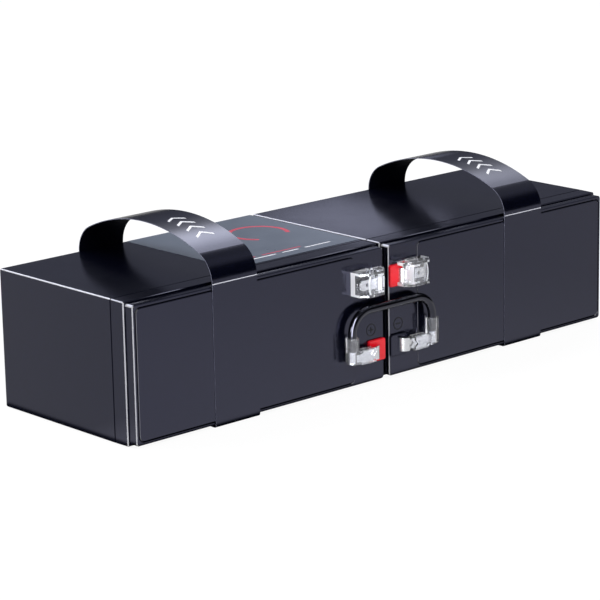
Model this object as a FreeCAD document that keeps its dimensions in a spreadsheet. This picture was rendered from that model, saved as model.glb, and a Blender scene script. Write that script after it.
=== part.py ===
"""Battery cartridge for an uninterruptible power supply.

Two 12 V sealed lead-acid batteries lie end to end along X on their long sides, with their lids
facing -Y.  The right battery is the left one turned half a turn about Y, so the two inner
terminals of the upper row are minus and plus, and those of the lower row plus and minus.  Foam
tape joins the batteries, a short insulated lead joins the lower terminals in series, and a
plastic film strap round each battery makes a lifting loop above it.

Millimetres, +Z up.  X = 0 is the middle of the pair, Y = 0 the middle of the depth from the
terminal shrouds to the back of the straps, and Z = 0 the underside of the straps.
"""
import FreeCAD
import Part
import math
import os
import re
import Sketcher
from FreeCAD import Placement, Rotation, Vector

DIMENSIONS = (
    # The pair
    ("battery_length", 151.0),      # one battery, along X
    ("battery_width", 65.0),        # its upright size as it lies, along Z
    ("case_depth", 89.0),           # from the lid's shoulder to the case's back, along Y
    ("battery_gap", 1.6),           # thickness of the foam tape between the two

    # Case
    ("case_wall", 2.2),
    ("partition", 1.4),             # wall between two cells
    ("corner_round", 0.7),          # long edges of case and lid
    ("back_round", 1.0),            # edges round the case's back face
    ("seam_bevel", 0.38),           # lips on both sides of the seam between case and lid
    ("weld_radius", 3.0),           # lead joint through a partition
    ("weld_play", 0.05),

    # Lid
    ("lid_depth", 8.7),             # from the shoulder back to the seam
    ("lid_draft", 0.8),             # degrees
    ("raised_height", 5.0),         # raised face in front of the shoulder
    ("raised_inset", 1.0),
    ("raised_corner", 1.4),
    ("raised_bevel", 0.4),
    ("shoulder_bevel", 0.5),
    ("trough_depth", 7.0),          # valve trough, from the raised face
    ("lid_floor", 2.2),

    # Vent cover
    ("panel_margin", 2.8),          # from the battery's edges
    ("panel_inner_edge", 19.7),     # from the battery's inner end
    ("panel_thickness", 1.4),
    ("panel_proud", 0.3),
    ("panel_corner", 2.2),
    ("panel_bevel", 0.25),
    ("panel_groove", 0.6),          # open line round the panel on three sides
    ("panel_play", 0.1),            # at the terminal side
    ("panel_ledge", 2.0),

    # Valves
    ("valve_offset", 18.0),         # from a cell's outer wall
    ("chimney_radius", 4.2),
    ("chimney_bore", 2.5),
    ("chimney_height", 3.8),
    ("cap_wall", 1.0),
    ("cap_top", 1.2),
    ("cap_skirt", 2.8),
    ("pip_radius", 2.0),

    # Terminals
    ("terminal_spread", 33.6),      # between the two terminals, along Z
    ("post_inset", 6.2),            # post's axis from the battery's inner end
    ("post_radius", 3.0),
    ("post_play", 0.1),
    ("post_top", 1.6),              # in front of the shoulder
    ("well_radius", 4.2),
    ("well_depth", 4.0),
    ("seal_length", 10.3),          # along X
    ("seal_width", 10.4),           # along Z
    ("seal_proud", 1.5),
    ("seal_corner", 1.0),
    ("tab_width", 4.75),
    ("tab_root_width", 6.35),       # its foot, riser and bend
    ("tab_thickness", 0.8),
    ("tab_bend", 3.4),              # outer radius where it turns outward
    ("tab_foot_bend", 1.1),
    ("tab_plane", 9.3),             # middle of the blade, in front of the shoulder
    ("tab_riser", 7.4),             # riser's middle, from the pair's middle
    ("tab_shoulder", 10.5),         # where it starts to narrow to the blade
    ("tab_tip", 20.5),              # blade's end, from the pair's middle
    ("tab_foot", 2.4),              # foot's length past the riser
    ("tab_tip_cut", 0.9),
    ("tab_hole", 0.85),
    ("tab_hole_inset", 4.1),        # hole's centre from the blade's end

    # Plates
    ("plate_top", 20.0),            # behind the shoulder
    ("plate_side_play", 0.9),
    ("positive_plate", 3.0),
    ("negative_plate", 2.0),
    ("positive_count", 4),
    ("lug_width", 9.0),
    ("lug_inset", 0.3),             # from the plate's upright edge
    ("bar_top", 12.0),              # behind the shoulder
    ("bar_depth", 4.0),
    ("separator_rise", 2.0),        # separator past the plates
    ("separator_side_play", 0.4),

    # Terminal shrouds, measured outward from the pair's middle
    ("shroud_start", 6.0),
    ("shroud_end", 22.8),
    ("shroud_reach", 14.3),         # front face, in front of the shoulder
    ("shroud_height", 11.6),
    ("shroud_wall", 1.3),
    ("shroud_back", 3.0),
    ("shroud_mouth_cut", 3.3),
    ("shroud_end_cut", 3.8),
    ("shroud_end_wall", 4.6),
    ("shroud_rise", 0.8),           # its middle above the tab's
    ("shroud_play", 0.15),          # round the seal and the tab
    ("shroud_front_end", 18.0),     # front wall's end at the mouth, beside the jaws
    ("shroud_bulge", 0.9),          # that end's curve
    ("window_start", 7.5),
    ("window_width", 1.4),
    ("latch_start", 10.2),
    ("latch_width", 1.0),
    ("latch_height", 0.9),

    # Flag receptacles and their housings, measured outward from the pair's middle
    ("sleeve_start", 12.9),         # mouth
    ("sleeve_neck", 21.4),          # where the arm narrows
    ("sleeve_notch", 1.5),          # V cut into front and back of the mouth
    ("sleeve_mouth_height", 6.9),
    ("sleeve_neck_height", 6.7),
    ("sleeve_elbow_height", 5.2),
    ("sleeve_top", 10.2),           # above the tab's middle
    ("sleeve_depth", 5.0),
    ("sleeve_wall", 0.45),
    ("sleeve_heel", 1.6),
    ("sleeve_bevel", 0.6),
    ("receptacle_start", 13.8),
    ("receptacle_end", 21.0),
    ("receptacle_width", 5.7),
    ("receptacle_sheet", 0.35),
    ("receptacle_lip", 1.7),
    ("receptacle_play", 0.05),      # to the blade
    ("crimp_radius", 1.45),
    ("crimp_low", -1.8),            # from the tab's middle
    ("crimp_high", 3.4),

    # Series lead
    ("lead_radius", 2.0),
    ("lead_reach", 26.0),           # leg's axis, from the pair's middle
    ("lead_top", 21.7),             # top run's axis above the lower tab's middle
    ("lead_bend", 10.5),
    ("lead_play", 0.05),
    ("strand_radius", 0.95),
    ("insulation_start", 4.0),      # above the tab's middle

    # Pull straps
    ("strap_film", 0.3),
    ("strap_width", 26.0),
    ("strap_place", 93.1),          # its middle, from the pair's middle
    ("strap_rise", 21.3),           # crown of the loop above the battery
    ("strap_shoulder", 14.0),       # radius at both ends of the loop
    ("strap_corner", 1.0),
    ("strap_turn_under", 35.0),     # length stuck under the battery at each end

    # Label and foam tape
    ("label_start", 73.0),          # from the battery's outer end
    ("label_front", 11.0),          # behind the shoulder
    ("label_back", 88.0),
    ("label_film", 0.12),
    ("label_corner", 0.8),
    ("foam_setback", 10.0),         # behind the shoulder
    ("foam_depth", 70.0),
    ("foam_width", 22.0),
)

ALIASES = {alias for alias, _ in DIMENSIONS}
ABOUT_Y = Rotation(Vector(0, 1, 0), 180)       # half turns
ABOUT_Z = Rotation(Vector(0, 0, 1), 180)

# Formulas shared by several pieces; a battery's own frame starts at its outer end, its shoulder
# and its bottom, and a terminal piece's frame at the pair's middle, the shoulder and the tab.
CELL_LENGTH = "(battery_length - 2*case_wall - 2*partition)/3"
CELL_HEIGHT = "(battery_width - 2*case_wall - partition)/2"
COLUMN_PITCH = CELL_LENGTH + " + partition"
ROW_PITCH = CELL_HEIGHT + " + partition"
SHOULDER = "(shroud_reach - case_depth - strap_film)/2"
LOW_TERMINAL = "(battery_width - terminal_spread)/2"
HIGH_TERMINAL = "(battery_width + terminal_spread)/2"
PAIR_MIDDLE = "battery_length + battery_gap/2"
POST = "battery_length - post_inset"
TROUGH_FLOOR = "trough_depth - raised_height"
PANEL_LENGTH = "battery_length - panel_inner_edge - panel_margin"
PANEL_WIDTH = "battery_width - 2*panel_margin"
PLATE_FLOOR = "case_depth - case_wall"
SEPARATOR = ("(%s - positive_count*positive_plate - (positive_count + 1)*negative_plate)"
             "/(2*positive_count)" % CELL_HEIGHT)


def cells(formula):
    """A formula in plain aliases, as the document's expressions want it."""
    return re.sub(r"[a-z]\w*", lambda word: "Sizes." + word.group()
                  if word.group() in ALIASES else word.group(), str(formula))


def value(formula):
    return float(sheet.evalExpression(cells(formula)))


def make_sheet():
    table = doc.addObject("Spreadsheet::Sheet", "Sizes")
    for row, (alias, size) in enumerate(DIMENSIONS, 1):
        table.set("A%d" % row, alias)
        table.set("B%d" % row, str(size))
        table.setAlias("B%d" % row, alias)
    doc.recompute()
    return table


# ---------------------------------------------------------------- sketches and features

def start_sketch(body, name, role, height="0"):
    """A sketch on one of the body's own planes, moved along that plane's normal."""
    sketch = body.newObject("Sketcher::SketchObject", name)
    base = [plane for plane in body.Origin.OriginFeatures if plane.Role == role][0]
    sketch.AttachmentSupport = [(base, "")]
    sketch.MapMode = "FlatFace"
    sketch.setExpression("AttachmentOffset.Base.z", cells(height))
    return sketch


def bind(sketch, kind, line, end, formula):
    """Hold one coordinate of a point, or one radius, at a formula of the sheet."""
    place = (-1, 1, line, end) if end else (line,)
    index = sketch.addConstraint(Sketcher.Constraint(kind, *place, value(formula)))
    sketch.setExpression("Constraints[%d]" % index, cells(formula))


def polygon(sketch, points):
    """A closed outline; each point is a pair of formulas, across and up the sketch."""
    first = sketch.GeometryCount
    corners = [Vector(value(across), value(up), 0) for across, up in points]
    for begin, finish in zip(corners, corners[1:] + corners[:1]):
        sketch.addGeometry(Part.LineSegment(begin, finish), False)
    for number, (across, up) in enumerate(points):
        following = first + (number + 1) % len(points)
        sketch.addConstraint(Sketcher.Constraint("Coincident", first + number, 2, following, 1))
        bind(sketch, "DistanceX", first + number, 1, across)
        bind(sketch, "DistanceY", first + number, 1, up)


def rectangle(sketch, left, bottom, right, top):
    polygon(sketch, ((left, bottom), (right, bottom), (right, top), (left, top)))


def circle(sketch, across, up, radius):
    centre = Vector(value(across), value(up), 0)
    line = sketch.addGeometry(Part.Circle(centre, Vector(0, 0, 1), value(radius)), False)
    bind(sketch, "DistanceX", line, 3, across)
    bind(sketch, "DistanceY", line, 3, up)
    bind(sketch, "Radius", line, 0, radius)


def curved_end(sketch, edge, bulge, far, half):
    """A rectangle, even about the sketch's X axis, whose near side is an arc bulging into it."""
    radius = "((%s)*(%s) + %s*%s)/(2*%s)" % (half, half, bulge, bulge, bulge)
    corners = ((edge, "-(%s)" % half), (far, "-(%s)" % half), (far, half), (edge, half))
    points = [Vector(value(across), value(up), 0) for across, up in corners]
    for begin, finish in zip(points, points[1:]):
        sketch.addGeometry(Part.LineSegment(begin, finish), False)
    for line, (across, up) in enumerate(corners):
        bind(sketch, "DistanceX", min(line, 2), 2 if line == 3 else 1, across)
        bind(sketch, "DistanceY", min(line, 2), 2 if line == 3 else 1, up)
    for line in (0, 1):
        sketch.addConstraint(Sketcher.Constraint("Coincident", line, 2, line + 1, 1))
    spread = math.asin(value(half) / value(radius))
    centre = Vector(value("%s + %s - %s" % (edge, bulge, radius)), 0, 0)
    arc = sketch.addGeometry(Part.ArcOfCircle(
        Part.Circle(centre, Vector(0, 0, 1), value(radius)), -spread, spread), False)
    sketch.addConstraint(Sketcher.Constraint("Coincident", arc, 1, 0, 1))
    sketch.addConstraint(Sketcher.Constraint("Coincident", arc, 2, 2, 2))
    bind(sketch, "Radius", arc, 0, radius)


def extrude(body, kind, sketch, length, middle=False, back=False):
    """A Pad or a Pocket, checked to have added or cut something."""
    before = body.Shape.Volume if body.Tip else 0
    feature = body.newObject("PartDesign::" + kind, kind)
    feature.Profile = sketch
    feature.setExpression("Length", cells(length))
    feature.SideType = "Symmetric" if middle else "One side"
    feature.Reversed = back
    sketch.Visibility = False
    doc.recompute()
    change = feature.Shape.Volume - before
    if (change <= 0) if kind == "Pad" else (change >= 0):
        raise ValueError("%s on %s of %s changed nothing" % (kind, sketch.Label, body.Label))
    return feature


def pattern_columns(body, sketch, features):
    """Repeat features for the three cells along the battery."""
    row = body.newObject("PartDesign::LinearPattern", "Columns")
    row.Originals = features
    row.Direction = (sketch, ["H_Axis"])
    row.Mode = "Spacing"
    row.Occurrences = 3
    row.setExpression("Offset", cells(COLUMN_PITCH))
    body.Tip = row
    doc.recompute()
    return row


def dress(body, kind, size, wanted):
    """A Fillet or Chamfer on the edges of the tip that the test picks by their boxes."""
    tip = body.Tip
    names = ["Edge%d" % number for number, edge in enumerate(tip.Shape.Edges, 1)
             if wanted(edge.BoundBox)]
    if not names:
        raise ValueError("no edges picked on " + body.Label)
    feature = body.newObject("PartDesign::" + kind, kind)
    feature.Base = (tip, names)
    feature.setExpression("Radius" if kind == "Fillet" else "Size", cells(size))
    doc.recompute()
    return feature


def near(number, formula):
    return abs(number - value(formula)) < 0.02


def upright(box):
    """An edge along Y, the direction in which the moulds of case and lid open."""
    return box.YLength > 0.5 and box.XLength < 0.3 and box.ZLength < 0.3


def start_body(side, name, place):
    body = doc.addObject("PartDesign::Body", side + name)
    body.Placement = place
    return body


def solid_node(label, shape, place):
    """A node whose shape is put together with Part's own functions."""
    node = doc.addObject("Part::Feature", label)
    node.Shape = shape
    node.Placement = place
    return node


def flat_at(box, formula):
    """An edge that lies wholly in one plane across Y."""
    return near(box.YMin, formula) and near(box.YMax, formula)


# ---------------------------------------------------------------- the batteries' plastic

def container(side, place):
    """Case moulding: an open box with six cells and lead-weld holes in its partitions."""
    body = start_body(side, "container", place)
    outline = start_sketch(body, "Outline", "XZ_Plane", "-case_depth")
    rectangle(outline, "0", "0", "battery_length", "battery_width")
    extrude(body, "Pad", outline, "case_depth - lid_depth")
    dress(body, "Fillet", "corner_round", upright)
    dress(body, "Fillet", "back_round", lambda box: flat_at(box, "case_depth"))
    dress(body, "Chamfer", "seam_bevel", lambda box: flat_at(box, "lid_depth"))

    cell = start_sketch(body, "Cells", "XZ_Plane", "-lid_depth")
    for row in range(2):
        low = "case_wall + %d*(%s)" % (row, ROW_PITCH)
        rectangle(cell, "case_wall", low, "case_wall + " + CELL_LENGTH,
                  "%s + %s" % (low, CELL_HEIGHT))
    pocket = extrude(body, "Pocket", cell, "case_depth - lid_depth - case_wall")
    pattern_columns(body, cell, [pocket])

    welds = start_sketch(body, "Column_welds", "YZ_Plane",
                         "case_wall + 2*(%s) + %s/2" % (COLUMN_PITCH, CELL_LENGTH))
    for row in range(2):
        circle(welds, "bar_top + bar_depth/2",
               "case_wall + %s/2 + %d*(%s)" % (CELL_HEIGHT, row, ROW_PITCH),
               "weld_radius + weld_play")
    extrude(body, "Pocket", welds, "2*(%s)" % COLUMN_PITCH)
    weld = start_sketch(body, "Row_weld", "XY_Plane", "battery_width/2 + 2*partition")
    circle(weld, "case_wall + plate_side_play + lug_inset + lug_width/2",
           "bar_top + bar_depth/2", "weld_radius + weld_play")
    extrude(body, "Pocket", weld, "4*partition")
    return body


def lid(side, place):
    """Lid moulding: drafted rim, raised face, cover seat, valve trough and terminal wells."""
    body = start_body(side, "lid", place)
    rim = start_sketch(body, "Rim", "XZ_Plane", "-lid_depth")
    rectangle(rim, "0", "0", "battery_length", "battery_width")
    extrude(body, "Pad", rim, "lid_depth").setExpression("TaperAngle", cells("-lid_draft"))
    doc.recompute()
    dress(body, "Fillet", "corner_round", upright)
    dress(body, "Chamfer", "seam_bevel", lambda box: flat_at(box, "lid_depth"))

    raised = start_sketch(body, "Raised_face", "XZ_Plane")
    rectangle(raised, "raised_inset", "raised_inset", "battery_length - raised_inset",
              "battery_width - raised_inset")
    extrude(body, "Pad", raised, "raised_height")
    dress(body, "Fillet", "raised_corner",
          lambda box: upright(box) and near(box.YMin, "-raised_height"))
    dress(body, "Chamfer", "raised_bevel", lambda box: flat_at(box, "-raised_height"))
    inset = value("raised_inset") / 2
    length = value("battery_length")
    width = value("battery_width")
    dress(body, "Chamfer", "shoulder_bevel", lambda box: flat_at(box, "0") and (
        box.XMax < inset or box.XMin > length - inset or box.ZMax < inset
        or box.ZMin > width - inset or box.XLength + box.ZLength < 3 * inset))

    seat = start_sketch(body, "Cover_seat", "XZ_Plane", "raised_height")
    rectangle(seat, "panel_margin - panel_groove", "panel_margin - panel_groove",
              "battery_length - panel_inner_edge + panel_play",
              "battery_width - panel_margin + panel_groove")
    extrude(body, "Pocket", seat, "panel_thickness - panel_proud")
    seat_floor = "panel_thickness - panel_proud - raised_height"
    dress(body, "Fillet", "panel_corner + panel_groove", lambda box: upright(box)
          and near(box.YMax, seat_floor) and near(box.YMin, "-raised_height"))

    trough = start_sketch(body, "Trough", "XZ_Plane", "raised_height")
    rectangle(trough, "panel_margin + panel_ledge", "panel_margin + panel_ledge",
              "battery_length - panel_inner_edge - panel_ledge",
              "battery_width - panel_margin - panel_ledge")
    extrude(body, "Pocket", trough, "trough_depth")
    dress(body, "Fillet", "panel_corner", lambda box: upright(box)
          and near(box.YMax, TROUGH_FLOOR) and near(box.YMin, seat_floor))

    valve = "case_wall + valve_offset"
    rows = ["case_wall + %s/2 + %d*(%s)" % (CELL_HEIGHT, row, ROW_PITCH) for row in range(2)]
    chimney = start_sketch(body, "Chimneys", "XZ_Plane", "-(%s)" % TROUGH_FLOOR)
    for up in rows:
        circle(chimney, valve, up, "chimney_radius")
    tube = extrude(body, "Pad", chimney, "chimney_height")
    pattern_columns(body, chimney, [tube])
    bore = start_sketch(body, "Valve_bores", "XZ_Plane", "chimney_height - (%s)" % TROUGH_FLOOR)
    for up in rows:
        circle(bore, valve, up, "chimney_bore")
    hole = extrude(body, "Pocket", bore, "chimney_height + lid_floor")
    pattern_columns(body, bore, [hole])

    under = start_sketch(body, "Cell_roofs", "XZ_Plane", "-lid_depth")
    for row in range(2):
        low = "case_wall + %d*(%s)" % (row, ROW_PITCH)
        rectangle(under, "case_wall", low, "case_wall + " + CELL_LENGTH,
                  "%s + %s" % (low, CELL_HEIGHT))
    roof = extrude(body, "Pocket", under, "lid_depth - (%s) - lid_floor" % TROUGH_FLOOR, back=True)
    pattern_columns(body, under, [roof])

    core = start_sketch(body, "Coring", "XZ_Plane", "-lid_depth")
    first = "battery_length - panel_inner_edge - panel_ledge + lid_floor"
    rectangle(core, first, LOW_TERMINAL + " + well_radius + lid_floor",
              "battery_length - case_wall", "case_wall + " + CELL_HEIGHT)
    rectangle(core, first, "case_wall + " + ROW_PITCH, "battery_length - case_wall",
              HIGH_TERMINAL + " - well_radius - lid_floor")
    extrude(body, "Pocket", core, "lid_depth + raised_height - lid_floor", back=True)

    wells = start_sketch(body, "Wells", "XZ_Plane", "raised_height")
    holes = start_sketch(body, "Post_holes", "XZ_Plane", "raised_height")
    for up in (LOW_TERMINAL, HIGH_TERMINAL):
        circle(wells, POST, up, "well_radius")
        circle(holes, POST, up, "post_radius + post_play")
    extrude(body, "Pocket", wells, "well_depth")
    extrude(body, "Pocket", holes, "raised_height + lid_depth")
    return body


def vent_cover(side, place):
    """Flat panel welded into the lid's seat, with a pip behind it that holds each valve cap."""
    body = start_body(side, "vent_cover", place)
    front = "raised_height + panel_proud"
    panel = start_sketch(body, "Panel", "XZ_Plane", front)
    rectangle(panel, "panel_margin", "panel_margin", "panel_margin + " + PANEL_LENGTH,
              "panel_margin + " + PANEL_WIDTH)
    extrude(body, "Pad", panel, "panel_thickness", back=True)
    dress(body, "Fillet", "panel_corner", upright)
    dress(body, "Chamfer", "panel_bevel", lambda box: flat_at(box, "-(%s)" % front))
    pips = start_sketch(body, "Pips", "XZ_Plane", front + " - panel_thickness")
    for row in range(2):
        circle(pips, "case_wall + valve_offset",
               "case_wall + %s/2 + %d*(%s)" % (CELL_HEIGHT, row, ROW_PITCH), "pip_radius")
    cap_front = "(%s) - chimney_height - cap_top" % TROUGH_FLOOR
    pip = extrude(body, "Pad", pips, "(%s) + %s - panel_thickness" % (cap_front, front), back=True)
    pattern_columns(body, pips, [pip])
    return body


def valve_caps(side, place):
    """Six rubber caps, one pressed over each chimney of the lid."""
    radius = value("chimney_radius")
    outer = radius + value("cap_wall")
    chimney_front = value("(%s) - chimney_height" % TROUGH_FLOOR)
    cap_front = chimney_front - value("cap_top")
    skirt_end = chimney_front + value("cap_skirt")
    profile = [Vector(0, cap_front, 0), Vector(outer, cap_front, 0),
               Vector(outer, skirt_end, 0), Vector(radius, skirt_end, 0),
               Vector(radius, chimney_front, 0), Vector(0, chimney_front, 0)]
    cap = Part.Face(Part.makePolygon(profile + profile[:1])).revolve(
        Vector(0, 0, 0), Vector(0, 1, 0), 360)
    caps = []
    for column in range(3):
        for row in range(2):
            caps.append(cap.translated(Vector(
                value("case_wall + valve_offset + %d*(%s)" % (column, COLUMN_PITCH)), 0,
                value("case_wall + %s/2 + %d*(%s)" % (CELL_HEIGHT, row, ROW_PITCH)))))
    return solid_node(side + "valve_caps", Part.makeCompound(caps), place)


# ---------------------------------------------------------------- plates and terminals

def block(low, high):
    """A box between two opposite corners."""
    return Part.makeBox(high[0] - low[0], high[1] - low[1], high[2] - low[2], Vector(*low))


def plate_stack(sign, column, row):
    """One cell's plates of one sign, with their lugs and the bar cast over the lugs."""
    cell_start = value("case_wall + %d*(%s)" % (column, COLUMN_PITCH))
    cell_low = value("case_wall + %d*(%s)" % (row, ROW_PITCH))
    separator = value(SEPARATOR)
    pitch = value("positive_plate + negative_plate") + 2 * separator
    start = cell_start + value("plate_side_play")
    end = cell_start + value(CELL_LENGTH) - value("plate_side_play")
    inner_side = (sign == "positive") == (row == 0)
    lug_start = start + value("lug_inset")
    if inner_side:
        lug_start = end - value("lug_inset + lug_width")
    lug_end = lug_start + value("lug_width")
    thickness = value(sign + "_plate")
    count = int(value("positive_count")) + (sign == "negative")
    first = cell_low
    bottom = value(PLATE_FLOOR)
    if sign == "positive":
        first += value("negative_plate") + separator
        bottom -= separator
    top = value("plate_top")
    bar_top = value("bar_top")
    bar_end = value("bar_top + bar_depth")
    last = first + (count - 1) * pitch + thickness
    shapes = [block((lug_start, bar_top, first), (lug_end, bar_end, last))]
    for number in range(count):
        low = first + number * pitch
        shapes.append(block((start, top, low), (end, bottom, low + thickness)))
        shapes.append(block((lug_start, bar_end, low), (lug_end, top, low + thickness)))
    return shapes, lug_start, lug_end


def weld(point, direction, length):
    return Part.makeCylinder(value("weld_radius"), length, point, direction)


def plate_groups(side, place):
    """Seven lead castings in series: post, six cells joined through the partitions, post."""
    axis = value("bar_top + bar_depth/2")
    order = [(column, 0) for column in (2, 1, 0)] + [(column, 1) for column in (0, 1, 2)]
    stacks = [(plate_stack("positive", *cell), plate_stack("negative", *cell)) for cell in order]
    post_length = value("bar_top + post_top")
    groups = []
    for number in range(7):
        shapes = []
        if number > 0:
            before, before_start, before_end = stacks[number - 1][1]
            shapes += before
        if number < 6:
            after, after_start, after_end = stacks[number][0]
            shapes += after
        if number in (0, 6):
            low = value(LOW_TERMINAL if number == 0 else HIGH_TERMINAL)
            shapes.append(Part.makeCylinder(
                value("post_radius"), post_length,
                Vector(value(POST), value("-post_top"), low), Vector(0, 1, 0)))
        elif number == 3:
            low = value("case_wall + " + CELL_HEIGHT) - value("negative_plate")
            length = value("partition + 2*negative_plate") + value(SEPARATOR)
            shapes.append(weld(Vector((after_start + after_end) / 2, axis, low),
                               Vector(0, 0, 1), length))
        else:
            row = order[number][1]
            start = min(before_end, after_end)
            shapes.append(weld(
                Vector(start, axis, value("case_wall + %s/2 + %d*(%s)" % (
                    CELL_HEIGHT, row, ROW_PITCH))),
                Vector(1, 0, 0), max(before_start, after_start) - start))
        groups.append(shapes[0].multiFuse(shapes[1:]).removeSplitter())
    return solid_node(side + "plate_groups", Part.makeCompound(groups), place)


def separators(side, place):
    """Glass-mat sheets, each folded in a U under one positive plate."""
    sheet_size = value(SEPARATOR)
    inner = value("positive_plate") / 2
    outer = inner + sheet_size
    top = value("plate_top - separator_rise")
    floor = value(PLATE_FLOOR)
    base = floor - sheet_size
    length = value(CELL_LENGTH) - 2 * value("separator_side_play")
    outline = [Vector(0, top, outer), Vector(0, floor, outer), Vector(0, floor, -outer),
               Vector(0, top, -outer), Vector(0, top, -inner), Vector(0, base, -inner),
               Vector(0, base, inner), Vector(0, top, inner)]
    fold = Part.Face(Part.makePolygon(outline + outline[:1])).extrude(Vector(length, 0, 0))
    pitch = value("positive_plate + negative_plate") + 2 * sheet_size
    folds = []
    for column in range(3):
        for row in range(2):
            start = value("case_wall + separator_side_play + %d*(%s)" % (column, COLUMN_PITCH))
            low = value("case_wall + negative_plate + %d*(%s)" % (row, ROW_PITCH)) + outer
            for number in range(int(value("positive_count"))):
                folds.append(fold.translated(Vector(start, 0, low + number * pitch)))
    return solid_node(side + "separators", Part.makeCompound(folds), place)


def tab(side, polarity, place):
    """Tinned brass tab: foot on the post, riser through the seal, blade pointing outward."""
    body = start_body(side, polarity + "_tab", place)
    profile = start_sketch(body, "Profile", "XY_Plane")
    riser_inner = PAIR_MIDDLE + " - tab_riser + tab_thickness/2"
    riser_outer = PAIR_MIDDLE + " - tab_riser - tab_thickness/2"
    tip = PAIR_MIDDLE + " - tab_tip"
    polygon(profile, (
        (tip, "-tab_plane - tab_thickness/2"),
        (riser_inner, "-tab_plane - tab_thickness/2"),
        (riser_inner, "-post_top - tab_thickness"),
        (riser_inner + " + tab_foot", "-post_top - tab_thickness"),
        (riser_inner + " + tab_foot", "-post_top"),
        (riser_outer, "-post_top"),
        (riser_outer, "-tab_plane + tab_thickness/2"),
        (tip, "-tab_plane + tab_thickness/2")))
    extrude(body, "Pad", profile, "tab_root_width", middle=True)
    for radius, across, along in (
            ("tab_bend", riser_inner, "-tab_plane - tab_thickness/2"),
            ("tab_bend - tab_thickness", riser_outer, "-tab_plane + tab_thickness/2"),
            ("tab_foot_bend", riser_outer, "-post_top"),
            ("tab_foot_bend - tab_thickness", riser_inner, "-post_top - tab_thickness")):
        dress(body, "Fillet", radius, lambda box: box.ZLength > 1
              and near(box.XMin, across) and near(box.YMin, along))

    sides = start_sketch(body, "Blade_sides", "XZ_Plane", "tab_plane - tab_thickness")
    shoulder = PAIR_MIDDLE + " - tab_shoulder"
    for sign in ("", "-"):
        polygon(sides, (
            (tip + " - tab_thickness", sign + "tab_width/2"),
            (shoulder + " - tab_root_width/2 + tab_width/2", sign + "tab_width/2"),
            (shoulder, sign + "tab_root_width/2"),
            (shoulder, sign + "tab_root_width"),
            (tip + " - tab_thickness", sign + "tab_root_width")))
    extrude(body, "Pocket", sides, "2*tab_thickness", back=True)
    dress(body, "Chamfer", "tab_tip_cut",
          lambda box: upright(box) and near(box.XMin, tip) and near(box.XMax, tip))
    hole = start_sketch(body, "Hole", "XZ_Plane", "tab_plane - tab_thickness")
    circle(hole, tip + " + tab_hole_inset", "0", "tab_hole")
    extrude(body, "Pocket", hole, "2*tab_thickness", back=True)
    return body


def terminal_seal(side, sign, place, metal):
    """Cast resin that fills the well round post and tab and stands proud of the lid."""
    body = doc.addObject("PartDesign::Body", "Resin")
    body.Placement = place
    plate = start_sketch(body, "Plate", "XZ_Plane", "raised_height")
    rectangle(plate, POST + " - seal_length/2", "-seal_width/2", POST + " + seal_length/2",
              "seal_width/2")
    extrude(body, "Pad", plate, "seal_proud")
    dress(body, "Fillet", "seal_corner", upright)
    dress(body, "Chamfer", "seal_corner/3",
          lambda box: flat_at(box, "-raised_height - seal_proud"))
    plug = start_sketch(body, "Plug", "XZ_Plane", "raised_height - well_depth")
    circle(plug, POST, "0", "well_radius")
    extrude(body, "Pad", plug, "well_depth")

    stub = doc.addObject("Part::Cylinder", "Post_end")
    stub.setExpression("Radius", cells("post_radius"))
    stub.setExpression("Height", cells("case_depth"))
    stub.Placement = place * Placement(Vector(value(POST), value("-post_top"), 0),
                                       Rotation(Vector(1, 0, 0), -90))
    hollow = doc.addObject("Part::MultiFuse", "Metal")
    hollow.Shapes = [metal, stub]
    seal = doc.addObject("Part::Cut", side + sign + "_seal")
    seal.Base = body
    seal.Tool = hollow
    return seal


# ---------------------------------------------------------------- terminal plastics and lead

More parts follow.
